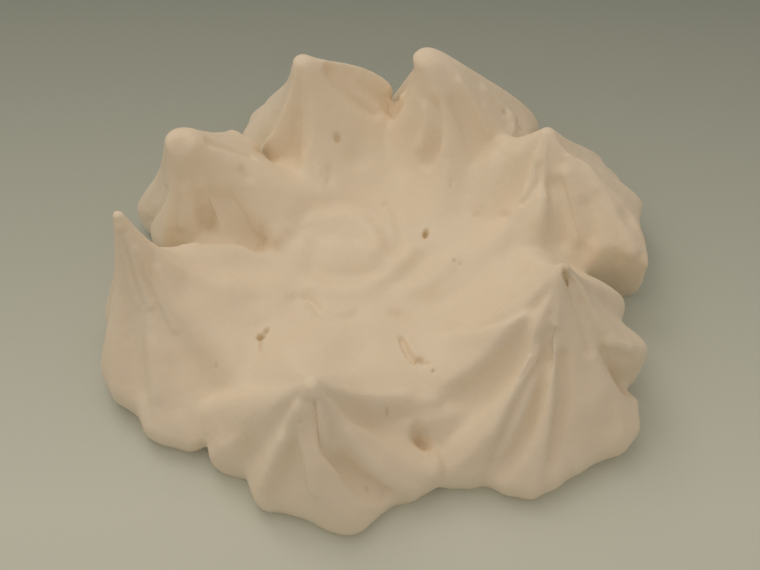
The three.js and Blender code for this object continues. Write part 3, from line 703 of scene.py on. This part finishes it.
# %% Finer creases
FINE_CREASES = [
    ("coil groove", (-14, 6), (-13, 8), (-10.5, 12), (-6, 13), (-2, 11.5), (0, 8), (1.5, 4),
     (1, 0.5), 1.7, -0.8),
    ("coil line", (0, 13), (2, 11.5), (3, 6), (2.5, 1), 0.8, -0.4),
    ("coil ridge", (-12.5, 1), (-12.5, 4.5), (-11, 8), (-6, 10), (-2, 7.5), (-0.5, 3.5),
     (-1, 0.5), 1.6, 0.7),
    ("coil inner groove", (-10, 5.5), (-6.5, 6), (-2, 4.5), 1.1, -0.4),
    ("coil inner ridge", (-10, 3), (-6.5, 3.5), (-2.5, 2), 1.3, 0.3),
    ("coil front groove", (-13, 1.5), (-10.5, -1), (-6.5, -2), (-1.5, -1.5), (1.5, 0.5), 1.6, -0.8),
    ("coil front ridge", (-13, -2.5), (-9, -5.5), (-4, -5.5), (0.5, -2.5), (4.5, 1.5), (5.5, 5), 1.8, 0.8),
    ("turn groove", (-1.5, -5), (2.5, -3.5), (6, 0.5), (9, 4.5), 1.8, -1),
    ("turn ridge", (1.5, -6), (6.5, -5), (10.5, -1), (12.5, 3), 1.8, 0.9),
    ("turn outer groove", (6, -8), (11, -7), (14.5, -4), (18, -1), 1.8, -0.9),
    ("front lip", (-15.5, -8), (-12, -7), (-10.5, -9), (-9, -11), (-5.5, -11.5), (-2.5, -9), 1, -0.7),
    ("leaf edge", (25, 12.5), (25, 10), (22.5, 7.5), (19, 9.5), 0.6, -0.6),
    ("leaf rim", (25.5, 11.5), (25.5, 8), (23, 5.5), (19.5, 5), 2, -0.6),
    ("right groove fill", (25.5, 10, 19), (25.5, 5, 16.5), (25.5, 0, 12.5), 2.2, 0.9),
    ("lower leaf hollow", (15, 8.5), (13.5, 5.5), (13, 2), 2, -0.4),
    ("right groove", (27.5, 11, 19), (28.5, 5.5, 15), (29, 0.5, 10.5), 1.3, -0.9),
    ("right ridge", (28.5, 12, 20), (30.5, 7, 15.5), (31.5, 1.5, 10.5), 1.2, 0.9),
    ("right second groove", (32, 8, 17.5), (33, 4, 15), (33.5, 1, 12), 1.1, -0.7),
    ("right second ridge", (30.5, 14.5, 19.5), (34.5, 9, 18), (38, 3, 14.5), (40.5, -1, 11), 1.2, 0.7),
    ("right streak", (29.5, 13.5), (31.5, 10.5), (34.5, 7.5), 0.6, 0.4),
    ("right back hollow", (37.5, 7), (39, 5), (40, 2.5), 1.5, -0.6),
    ("front right crease", (25.5, -16.5), (21.5, -18), (17.5, -18), (13.5, -17), (9.5, -12.5), 1, -0.9),
    ("front right band", (24, -21, 20.5), (19.5, -24.5, 16.5), (14.5, -26, 12.5),
     (9.5, -27, 10), 2.2, -1.1),
    ("front right groove", (25.5, -21, 21), (24.5, -24, 17), (21.5, -28, 15), (18.5, -32, 11),
     (15.5, -36, 4.5), 0.9, -1.2),
    ("front right low groove", (26.5, -22, 17.5), (27, -26, 13), (26, -31, 9.5), (25, -36.5, 5), 1, -0.8),
    ("front right line", (24.5, -22, 18.5), (22.5, -26, 16.5), (19, -30.5, 12.5), (15, -34.5, 9), 1.4, 0.4),
    ("front right edge", (27.5, -14.5, 26.5), (28.5, -18, 23), (30, -20.5, 19.5),
     (31.5, -23.5, 15.5), 1, -1.1),
    ("front right facet", (29, -26, 13), (31.5, -28, 10), (32.5, -30.5, 7), 2, 0.5),
    ("front right hollow", (32.5, -26, 12), (34.5, -28.5, 9), (34.5, -31, 6), 1.6, -0.5),
    ("front right rim", (32.5, -20.5, 15.5), (35.5, -21, 16), (39, -19.5, 12.5), 0.9, 0.6),
    ("front right wall", (32.5, -22.5, 15), (36.5, -21, 12.5), (38.5, -20, 10), 1.3, -0.6),
    ("front crease", (-9.5, -33.5, 21), (-9.5, -36, 17.5), (-8, -38, 14.5), (-5.5, -38, 9.5),
     (-1.5, -39.5, 6), (2, -40, 3.5), 1, -1.3),
    ("front petal ridge", (-6, -34.5), (-4, -36.5), (-1, -38), (3, -39.5), 1.5, 0.8),
    ("front petal rim", (5, -30.5), (7.5, -33), (8.5, -37.5), 0.9, 0.6),
    ("front petal gap", (4, -31), (6, -32), (8, -34), 1.1, -3),
    ("front ridge", (-11.5, -33.5, 20), (-11.5, -35.5, 15.5), (-10.5, -39, 12), (-9, -42.5, 6.5), 1.1, 0.7),
    ("front facet", (-12, -34.5), (-13, -37), (-14, -40.5), 1.6, -1),
    ("front left ridge", (-13.5, -35.5, 15.5), (-16, -38, 10), (-17.5, -40.5, 5), 1, 0.6),
    ("front left crease", (-24.5, -32), (-20, -32.5), (-15.5, -33), 1.1, -0.7),
    ("front left hollow", (-21, -34), (-18.5, -34), (-16, -33.5), 2, -0.5),
    ("front top facet", (-7, -26.5), (-4, -19.5), (-0.5, -16), 3, -0.7),
    ("front shelf edge", (-8, -32), (-1.5, -29), (6, -27), 1.3, 0.7),
    ("front shelf hollow", (-8, -34), (-1.5, -30.5), (5.5, -29), 2, -0.8),
    ("horn streak a", (-39, -7.5, 28), (-38.5, -9.5, 23), (-37.5, -13, 17.5), 0.5, 0.5),
    ("horn streak b", (-38, -8, 26.5), (-36.5, -11, 20.5), (-34.5, -14.5, 15.5), 0.5, 0.5),
    ("horn streak c", (-38.5, -7.5, 27), (-37.5, -10.5, 21), (-36, -14.5, 16), 0.5, -0.45),
    ("horn streak d", (-37, -8.5, 24.5), (-34, -12, 18), (-31, -16.5, 12.5), 0.6, 0.5),
    ("horn dark notch", (-35.5, -8), (-34.5, -8.5), (-33, -8.5), 1, -0.8),
    ("horn soft groove", (-31, -13.5), (-27.5, -18), (-25.5, -22.5), (-24, -27.5), 2.4, -0.6),
    ("horn side groove", (-36.5, -13.5, 17), (-36.5, -18.5, 11.5), (-36.5, -25, 5.5), 1.2, -0.5),
    ("horn side ridge", (-35, -16.5, 14), (-34, -21.5, 10), (-33.5, -26, 6.5), 1.4, 0.4),
    ("horn low groove", (-32, -19, 12), (-31, -23.5, 9), (-30.5, -28, 6), 1.3, -0.3),
    ("knob crease", (-25.5, 9.5, 17.5), (-23, 7.5, 13.5), (-21, 6, 10.5), (-17, 3.5, 10), 1.8, -1.3),
    ("knob pocket", (-28.5, 9.5, 17.5), (-27.5, 7.5, 13.5), (-27.5, 6.5, 9.5), 1.3, -0.7),
    ("knob streak", (-22.5, 13, 18.5), (-21.5, 12, 17.5), (-20, 11, 15.5), 0.9, -0.8),
    ("knob left line", (-32, 10.5, 20.5), (-32.5, 8.5, 15), (-33, 6, 8.5), 0.5, -0.25),
    ("knob groove fill", (-31.5, 10, 20), (-32, 8.5, 14), (-32.5, 6, 9), 1.2, 0.6),
    ("knob second fill", (-29.5, 10.5, 19.5), (-29, 9.5, 15.5), (-29, 9, 12), 1.3, 0.5),
    ("knob left seam", (-34.5, 10.5, 16.5), (-36, 9.5, 12.5), (-39, 11.5, 4.5), 0.8, -0.7),
    ("shelf line", (-28, 13.5, 23.5), (-24, 16, 19), (-20, 18, 14.5), 0.8, -0.8),
    ("back left groove", (-13, 27.5), (-12.5, 23.5), (-13.5, 20.5), 0.9, -1),
    ("back left fold", (-14, 27.5), (-15.5, 25.5), (-18.5, 24), 1.1, 0.5),
    ("back left furrow", (-9.5, 31, 23.5), (-6.5, 29, 20), (-3, 28, 16.5), (0.5, 28, 13.5), 1.1, -1.1),
    ("back left rim", (-5.5, 31, 20), (-1.5, 32, 17), (1.5, 33, 12.5), 1.2, 0.4),
    ("back left dark", (0.5, 32, 13.5), (2, 32.5, 11), (1.5, 28, 13), 1.2, -0.6),
    ("back left shade", (-5, 23), (-4, 21), (-5, 17.5), 1.6, -0.4),
    ("back left crumb", (-9, 19), (-8.5, 17.5), (-9, 15.5), 0.5, -0.4),
    ("back right groove", (8, 25, 22.5), (9, 21.5, 18.5), (8.5, 20, 14.5), (6.5, 18, 11), 1.2, -1),
    ("back right ridge", (7, 25, 21.5), (7.5, 22.5, 17), (5.5, 20, 12), 1.2, 0.7),
    ("back right streak", (12, 27, 24.5), (15.5, 24.5, 19.5), (18, 21.5, 14.5), 0.8, 0.5),
    ("back right faint", (11, 24.5, 22.5), (14, 22, 17), (16.5, 16.5, 14.5), 1.1, -0.6),
    ("back right rim", (16, 29, 20.5), (20, 28.5, 16), (23, 27.5, 12.5), 0.9, 0.5),
    ("back right lip", (20.5, 27.5, 15.5), (22, 25, 13.5), (19.5, 18, 16.5), 1, 0.5),
    ("back notch fill", (2.5, 35), (2.5, 32.5), (2, 30), 1.5, 2.5),
    ("knob notch fill", (-20.5, 25.5), (-19, 24), (-17.5, 22.5), 1.2, 1.6),
]
print(len(FINE_CREASES), "finer creases")

# %% Lay the folds
points = lay_strokes(nest.data, BROAD_FOLDS + FINE_CREASES)
print("highest point", round(points[:, 2].max(), 1), "mm")

# %% [markdown]
# ## Pits and a torn place
#
# Bubbles in the foam burst while it dried and left a few small pits and pores, one tip broke off short, and
# the nozzle tore a small flap in the hollow and drew a few thin lines. These marks are a millimetre or two
# wide, so the skin is made finer just round them: subdividing it all would cost far too many faces.

# %% Make the skin finer round the marks
PITS = [
    # name, place, half width, half length, turn in degrees, depth, how toasted
    ("back pit", (-7.3, 22.6), 0.55, 0.6, 0, 0.6, 0.75),
    ("swirl pit", (7.2, 6.3), 0.45, 0.9, -12, 0.8, 0.9),
    ("left pit", (-18.4, -15.6), 0.6, 0.6, 30, 0.8, 1),
    ("left pit side", (-17.6, -14.6), 0.4, 0.6, -30, 0.5, 0.55),
    ("left pit tail", (-18.4, -17.6), 0.3, 1.4, 4, 0.35, 0.2),
    ("broken tip", (26.8, -15.6), 0.5, 0.55, 0, 0.9, 1),
    ("front pore", (0.8, -29.7), 0.25, 0.3, 0, 0.3, 0.5),
    ("petal pore", (-2.2, -39.2), 0.25, 0.3, 0, 0.3, 0.4),
    ("rim pore", (20.5, 27.4), 0.3, 0.35, 0, 0.3, 0.6),
    ("second rim pore", (23.4, 26.9), 0.3, 0.3, 0, 0.3, 0.6),
    ("hollow pore", (11.6, -0.2), 0.25, 0.3, 0, 0.3, 0.5),
    ("second hollow pore", (12.5, -0.7), 0.2, 0.25, 0, 0.2, 0.5),
    ("flank pore", (-25, -20.2), 0.25, 0.3, 0, 0.25, 0.4),
    ("tear pore", (7.7, -23.1), 0.25, 0.25, 0, 0.3, 0.9),
]
FINE_MARKS = [
    ("tear", (2.9, -14.8), (4, -18.8), (5.4, -21.6), 0.45, -0.9),
    ("tear lip", (3.6, -15), (4.9, -18.6), (6.2, -21.2), 0.6, 0.45),
    ("loose edge", (5.4, -20.6), (6.6, -21.6), (7.4, -21.2), 0.4, -0.5),
    ("swirl lump", (-9.9, 18.6), (-10.3, 17.2), (-8.6, 15.2), 0.6, 0.35),
    ("short crease", (-12.7, -7), (-10.8, -7.8), (-9.5, -10.5), 0.5, -0.3),
    ("scratch", (11.2, 15.4), (11.5, 14.5), (11.3, 13.6), 0.3, -0.3),
    ("ridge streak", (22.1, -23.7), (21.1, -25.2), (19.9, -26.7), 0.35, 0.3),
    ("thin line", (-20.9, 21), (-18.3, 22.8), (-15.3, 22.3), 0.5, -0.4),
]
MARK_CLEARANCE = 1.6  # how far round a mark the skin is made finer
MARK_STEPS = 4
PORE_LENGTH = 0.4  # a pit with a half length up to this is a mere pore, on the plain skin

marks = [np.array(place) for name, place, half_width, half_length, *rest in PITS
         if half_length > PORE_LENGTH]
marks += [place for stroke in FINE_MARKS for place in along_curve(stroke[1:-2], steps=MARK_STEPS)]
finer = bmesh.new()
finer.from_mesh(nest.data)
points = read_points(nest.data)
nearest_mark = np.min([np.linalg.norm(points[:, :2] - mark, axis=1) for mark in marks], axis=0)
close = nearest_mark < MARK_CLEARANCE
edges = [edge for edge in finer.edges if close[edge.verts[0].index] and close[edge.verts[1].index]]
bmesh.ops.subdivide_edges(finer, edges=edges, cuts=1, use_grid_fill=True)
bmesh.ops.triangulate(finer, faces=[face for face in finer.faces if len(face.verts) > 4])
finer.to_mesh(nest.data)
finer.free()
print("split", len(edges), "edges; the skin has", len(nest.data.vertices), "points")

# %% Press the pits and lay the fine marks
PIT_STEEPNESS = 1.5  # above 1 a pit has a steeper wall than a bell has


def pit_share(points, place, half_width, half_length, turn):
    """1 in the middle of a pit, falling quickly to 0 at its rim."""
    cos, sin = math.cos(math.radians(turn)), math.sin(math.radians(turn))
    away = points[:, :2] - np.array(place)
    across = (away[:, 0] * cos + away[:, 1] * sin) / half_width
    along = (away[:, 1] * cos - away[:, 0] * sin) / half_length
    return np.exp(-(across ** 2 + along ** 2) ** PIT_STEEPNESS)


points = read_points(nest.data)
for name, place, half_width, half_length, turn, depth, amount in PITS:
    pressed = depth * pit_share(points, place, half_width, half_length, turn)
    points[:, 2] -= pressed * (points[:, 2] > FREE_HEIGHT)
write_points(nest.data, points)
lay_strokes(nest.data, FINE_MARKS)
print(len(PITS), "pits and", len(FINE_MARKS), "fine marks")

# %% [markdown]
# ## Fewer faces, and a flat underside
#
# The even skin spends as many faces on smooth places as on creases. A Decimate modifier takes away the ones
# that matter least. Then the piece is cut level with the table, because it was baked on a flat sheet, and
# the cut is closed with one flat face.

# %% Thin out the faces
MOST_FACES = 186000  # counted as triangles; the cut below takes some more away

nest.data.calc_loop_triangles()
thinning = nest.modifiers.new("thin_out", "DECIMATE")
thinning.ratio = min(1, MOST_FACES / len(nest.data.loop_triangles))
settle(nest)
print("kept", len(nest.data.polygons), "faces")

# %% Cut the underside flat
cutter = bmesh.new()
cutter.from_mesh(nest.data)
everything = cutter.verts[:] + cutter.edges[:] + cutter.faces[:]
cut = bmesh.ops.bisect_plane(cutter, geom=everything, plane_co=(0, 0, 0), plane_no=(0, 0, -1),
                             clear_outer=True)
rim = [piece for piece in cut["geom_cut"] if isinstance(piece, bmesh.types.BMEdge)]
for edge in rim:
    edge.smooth = False
closed = bmesh.ops.holes_fill(cutter, edges=rim, sides=0)
for face in closed["faces"]:
    face.smooth = False
bmesh.ops.triangulate(cutter, faces=closed["faces"])
open_edges = sum(not edge.is_manifold for edge in cutter.edges)
cutter.to_mesh(nest.data)
cutter.free()
print("rim of", len(rim), "edges,", open_edges, "edges left open")

# %% [markdown]
# ## What the finish needs to know about each place
#
# Two things follow the foam's own surface and not the axes of the room. The pits dried longer and turned a
# honey tan, and a few crevices get the same tan as painted shade, where little light reaches into them. And
# the nozzle drew fine streaks that run from every tip down its flank, but not across the hollow or the seams
# between two peaks. Both are written on the points as attributes, which the material reads.

# %% Where the foam is toasted, and where crease shade is painted
# spots at the broken tip and the tear are toasting; those in creases, notches and gaps are painted shade
TOAST_AND_CREASE_SHADE = [
    # place, radius, how much
    ((2.3, -10), 0.9, 0.35),
    ((-19.2, 4.3), 1.5, 0.55),
    ((-17, 3.4), 1.3, 0.5),
    ((-27.5, 7.2), 1, 0.5),
    ((5.6, -20.8), 0.7, 0.45),
    ((26.5, -14.75), 0.7, 0.45),
    ((-19.9, 22), 1.5, 0.45),
    ((-35, -10), 1.2, 0.25),
    ((-20, -32.5), 1.2, 0.2),
    ((15.5, 10), 0.8, 0.3),
    ((5.5, -32), 1, 0.4),
    ((7.2, -33.6), 0.9, 0.4),
]
TOAST_SPREAD = 1.1  # the tan reaches this much farther than the pit


def write_attribute(mesh, name, kind, field, values):
    written = mesh.attributes.new(name, kind, "POINT")
    written.data.foreach_set(field, values.astype(np.float32).ravel())


points = read_points(nest.data)
toast_and_shade = np.zeros(len(points))
for name, place, half_width, half_length, turn, depth, amount in PITS:
    spread = pit_share(points, place, half_width * TOAST_SPREAD, half_length * TOAST_SPREAD, turn)
    toast_and_shade = np.maximum(toast_and_shade, amount * spread)
for place, radius, amount in TOAST_AND_CREASE_SHADE:
    away = np.linalg.norm(points[:, :2] - np.array(place), axis=1)
    toast_and_shade = np.maximum(toast_and_shade, amount * np.exp(-(away / radius) ** 2))
toast_and_shade *= points[:, 2] > FREE_HEIGHT
write_attribute(nest.data, "toast_and_crease_shade", "FLOAT", "value", toast_and_shade)
# this count takes toasted points and points with painted crease shade alike
print(int((toast_and_shade > 0.5).sum()), "points are well toasted")

# %% Which way the nozzle's streaks run
STREAKS_ROUND = 26  # how many streaks there are round one radian of a peak
STREAK_CHANGE = 0.12  # how quickly a streak changes along its length, per mm
PEAK_SHIFT = 7  # moves the pattern on from one peak to the next
PLAIN_MIDDLE = (-5, 1)  # round this place there are no streaks
PLAIN_RADIUS = 12
PLAIN_FADE = 16
SEAM_FADE = 5
TIP_FADE = 3
TIP_DOT = 0.01  # nearer to a tip than this a point counts as on it

away = points[:, None, :2] - tips[None]
distances = np.linalg.norm(away, axis=2)
own = distances.argmin(axis=1)
distance = distances[np.arange(len(points)), own]
towards = away[np.arange(len(points)), own] / np.maximum(distance, TIP_DOT)[:, None]
flow = np.column_stack([towards * STREAKS_ROUND, distance * STREAK_CHANGE + own * PEAK_SHIFT])
write_attribute(nest.data, "flow", "FLOAT_VECTOR", "vector", flow)
from_plain = np.hypot(points[:, 0] - PLAIN_MIDDLE[0], points[:, 1] - PLAIN_MIDDLE[1])
outside = ease(np.clip((from_plain - PLAIN_RADIUS) / PLAIN_FADE, 0, 1))
second = np.partition(distances, 1, axis=1)[:, 1]
well_inside = ease(np.clip((second - distance) / SEAM_FADE, 0, 1)) * ease(np.clip(distance / TIP_FADE, 0, 1))
write_attribute(nest.data, "streaked", "FLOAT", "value", outside * well_inside)
print("share of points with full streaks:", round(float((outside * well_inside > 0.99).mean()), 2))

# %% [markdown]
# ## The finish of dried egg-white foam
#
# Meringue is a warm white, never pure white, because the sugar takes a little colour in the oven. It is
# matte, and light goes a millimetre or two into it, which softens every shadow. Its skin has a very fine
# grain and faint clouds of a slightly deeper cream. A single colour would look like plaster, so the finish
# is made of noise at several sizes, and the light that goes in is the shader's own subsurface scattering.

# %% Helpers for a node tree
def new_material(name):
    material = bpy.data.materials.new(name)
    material.use_nodes = True
    nodes = material.node_tree.nodes
    return material, nodes, material.node_tree.links, nodes["Principled BSDF"]


def set_inputs(node, values):
    for name, value in values.items():
        node.inputs[name].default_value = value


def noise(nodes, links, vector, scale, detail, roughness=0.5):
    texture = nodes.new("ShaderNodeTexNoise")
    set_inputs(texture, {"Scale": scale, "Detail": detail, "Roughness": roughness})
    links.new(vector, texture.inputs["Vector"])
    return texture.outputs["Fac"]


def mixed(nodes, links, share, first, second):
    """Mix two colours, each given as a colour or as a socket, by a share given as a socket."""
    mix = nodes.new("ShaderNodeMix")
    mix.data_type = "RGBA"
    links.new(share, mix.inputs["Factor"])
    for socket, colour in ((mix.inputs["A"], first), (mix.inputs["B"], second)):
        if isinstance(colour, tuple):
            socket.default_value = (*colour, 1)
        else:
            links.new(colour, socket)
    return mix.outputs["Result"]


def stretched(nodes, links, value, from_low, from_high, to_low=0.0, to_high=1.0):
    reach = nodes.new("ShaderNodeMapRange")
    set_inputs(reach, {"From Min": from_low, "From Max": from_high, "To Min": to_low, "To Max": to_high})
    links.new(value, reach.inputs["Value"])
    return reach.outputs["Result"]


def multiplied(nodes, links, first, second):
    product = nodes.new("ShaderNodeMath")
    product.operation = "MULTIPLY"
    links.new(first, product.inputs[0])
    links.new(second, product.inputs[1])
    return product.outputs[0]


def read_attribute(nodes, name):
    reader = nodes.new("ShaderNodeAttribute")
    reader.attribute_name = name
    return reader.outputs


def bumped(nodes, links, height, depth, below=None):
    bump = nodes.new("ShaderNodeBump")
    set_inputs(bump, {"Strength": 1, "Distance": depth})
    links.new(height, bump.inputs["Height"])
    if below is not None:
        links.new(below, bump.inputs["Normal"])
    return bump.outputs["Normal"]


print("helpers are ready")

# %% Meringue
CREAM = (0.905, 0.82, 0.68)
DEEPER_CREAM = (0.885, 0.785, 0.635)
TAN_OF_TOAST_AND_SHADE = (0.58, 0.445, 0.24)
CLOUD_SCALE = 110  # this scale and the others count the waves of a noise in a metre
BLOTCH_SCALE = 900

meringue, nodes, links, shader = new_material("dried_meringue")
place = nodes.new("ShaderNodeTexCoord").outputs["Object"]
clouds = stretched(nodes, links, noise(nodes, links, place, CLOUD_SCALE, detail=3), 0.35, 0.7)
colour = mixed(nodes, links, clouds, CREAM, DEEPER_CREAM)
blotches = stretched(nodes, links, noise(nodes, links, place, BLOTCH_SCALE, detail=2), 0.3, 0.6, 0.5, 1.0)
# the tan is toasting in the pits and painted shade in some creases
toast_and_shade_share = multiplied(nodes, links, read_attribute(nodes, "toast_and_crease_shade")["Fac"], blotches)
colour = mixed(nodes, links, toast_and_shade_share, colour, TAN_OF_TOAST_AND_SHADE)
links.new(colour, shader.inputs["Base Color"])
set_inputs(shader, {
    "Subsurface Weight": 0.2,
    "Subsurface Radius": (1.0, 0.85, 0.7),
    "Subsurface Scale": 0.0015,
    "Specular IOR Level": 0.3,
})
print("cream from", CREAM, "to", DEEPER_CREAM)

# %% The skin's grain and streaks
WAVE_SCALE, WAVE_DEPTH = 260, 0.0003
GRAIN_SCALE, GRAIN_DEPTH = 2400, 0.00004
STREAK_DEPTH = 0.00006
DRYNESS_SCALE = 500
DRIEST, LEAST_DRY = 0.7, 0.52  # roughness

streak_noise = noise(nodes, links, read_attribute(nodes, "flow")["Vector"], 1, detail=2)
streaks = multiplied(nodes, links, streak_noise, read_attribute(nodes, "streaked")["Fac"])
wave_noise = noise(nodes, links, place, WAVE_SCALE, detail=2)
waves = bumped(nodes, links, wave_noise, WAVE_DEPTH)
grain_noise = noise(nodes, links, place, GRAIN_SCALE, detail=3, roughness=0.6)
grain = bumped(nodes, links, grain_noise, GRAIN_DEPTH, waves)
links.new(bumped(nodes, links, streaks, STREAK_DEPTH, grain), shader.inputs["Normal"])
dry_noise = noise(nodes, links, place, DRYNESS_SCALE, detail=2)
dryness = stretched(nodes, links, dry_noise, 0.3, 0.7, LEAST_DRY, DRIEST)
links.new(dryness, shader.inputs["Roughness"])

nest.data.materials.clear()
nest.data.materials.append(meringue)
print("materials on the nest:", [slot.name for slot in nest.material_slots])

# %% [markdown]
# ## Put the nest in the CAD's place
#
# The frame keeps the CAD solid for weight and collision, and the finer piece stands in for it in the
# picture. Food has no joints, so the piece rides on the only body there is.

# %% Ride, replace and name the mesh
nest.data.name = "meringue_nest"
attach(nest, "root")
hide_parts("meringue")
nest.data.calc_loop_triangles()
print("the nest has", len(nest.data.loop_triangles), "triangles")

# %% [markdown]
# ## Table and light
#
# The nest lies on a plain grey-green table. Its colour is mixed by depth and grows darker towards the far
# side, which is painted shade where the room's light falls off. Most of the light comes from all round, as
# in a bright room, so every shadow is open. One soft lamp hangs low over the hollow and lights the inner
# flanks.
# Another stands behind the nest on the left: it models the folds of the front peaks and lays the shadow on
# the table. The Standard view shows the colours as they were mixed, without a film's contrast.

# %% Floor
FLOOR_HALF = 2.0
FLOOR_NEAR = (0.70, 0.755, 0.695)
# the far colour is painted shade: the table darkens with depth as the light falls off
FLOOR_FAR_IN_PAINTED_SHADE = (0.25, 0.297, 0.275)
FADE_START, FADE_END = -0.04, 0.09  # from the near colour to the far one, in metres
TABLE_GRAIN_SCALE, TABLE_GRAIN_DEPTH = 1500, 0.00002

floor_mesh = bpy.data.meshes.new("table_top")
sheet = bmesh.new()
bmesh.ops.create_grid(sheet, x_segments=1, y_segments=1, size=FLOOR_HALF)
sheet.to_mesh(floor_mesh)
sheet.free()
floor = bpy.data.objects.new("table_top", floor_mesh)
scene.collection.objects.link(floor)
table_paint, nodes, links, shader = new_material("matte_table")
place = nodes.new("ShaderNodeTexCoord").outputs["Object"]
sides = nodes.new("ShaderNodeSeparateXYZ")
links.new(place, sides.inputs["Vector"])
# painted shade, mixed by depth from the near colour to the darker far one
painted_falloff_share = stretched(nodes, links, sides.outputs["Y"], FADE_START, FADE_END)
links.new(mixed(nodes, links, painted_falloff_share, FLOOR_NEAR, FLOOR_FAR_IN_PAINTED_SHADE), shader.inputs["Base Color"])
set_inputs(shader, {"Roughness": 0.85, "Specular IOR Level": 0.2})
table_noise = noise(nodes, links, place, TABLE_GRAIN_SCALE, detail=2)
links.new(bumped(nodes, links, table_noise, TABLE_GRAIN_DEPTH), shader.inputs["Normal"])
floor_mesh.materials.append(table_paint)
floor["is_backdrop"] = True
print("a table of", 2 * FLOOR_HALF, "m")

# %% Lights
WARM_WHITE = (1, 0.868, 0.727)
LAMPS_AIM_AT = Vector((0, 0, 0.01))
ROOM_STRENGTH = 0.42


def soft_light(name, place, size, power):
    data = bpy.data.lights.new(name, "AREA")
    data.size = size
    data.energy = power
    data.color = WARM_WHITE
    light = bpy.data.objects.new(name, data)
    scene.collection.objects.link(light)
    light.location = place
    light.rotation_euler = (LAMPS_AIM_AT - Vector(place)).to_track_quat("-Z", "Y").to_euler()


soft_light("over_the_hollow", place=(-0.05, 0.03, 0.22), size=0.2, power=0.09)
soft_light("from_behind", place=(-0.3, 0.5, 0.65), size=0.4, power=0.82)

room = bpy.data.worlds.new("bright_room")
scene.world = room
room.use_nodes = True
set_inputs(room.node_tree.nodes["Background"], {"Color": (*WARM_WHITE, 1), "Strength": ROOM_STRENGTH})
scene.view_settings.view_transform = "Standard"
print("two soft lights and a bright room")

# %% [markdown]
# ## The size
#
# Blender must not change how big the nest is. Both boxes are written down, the CAD's and the new one, and
# they should agree to within a fraction of a millimetre.

# %% Sizes
made_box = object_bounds()
for name, box in (("CAD", cad_box), ("made", made_box)):
    print(name, "box", [[round(v / MM, 1) for v in corner] for corner in box])
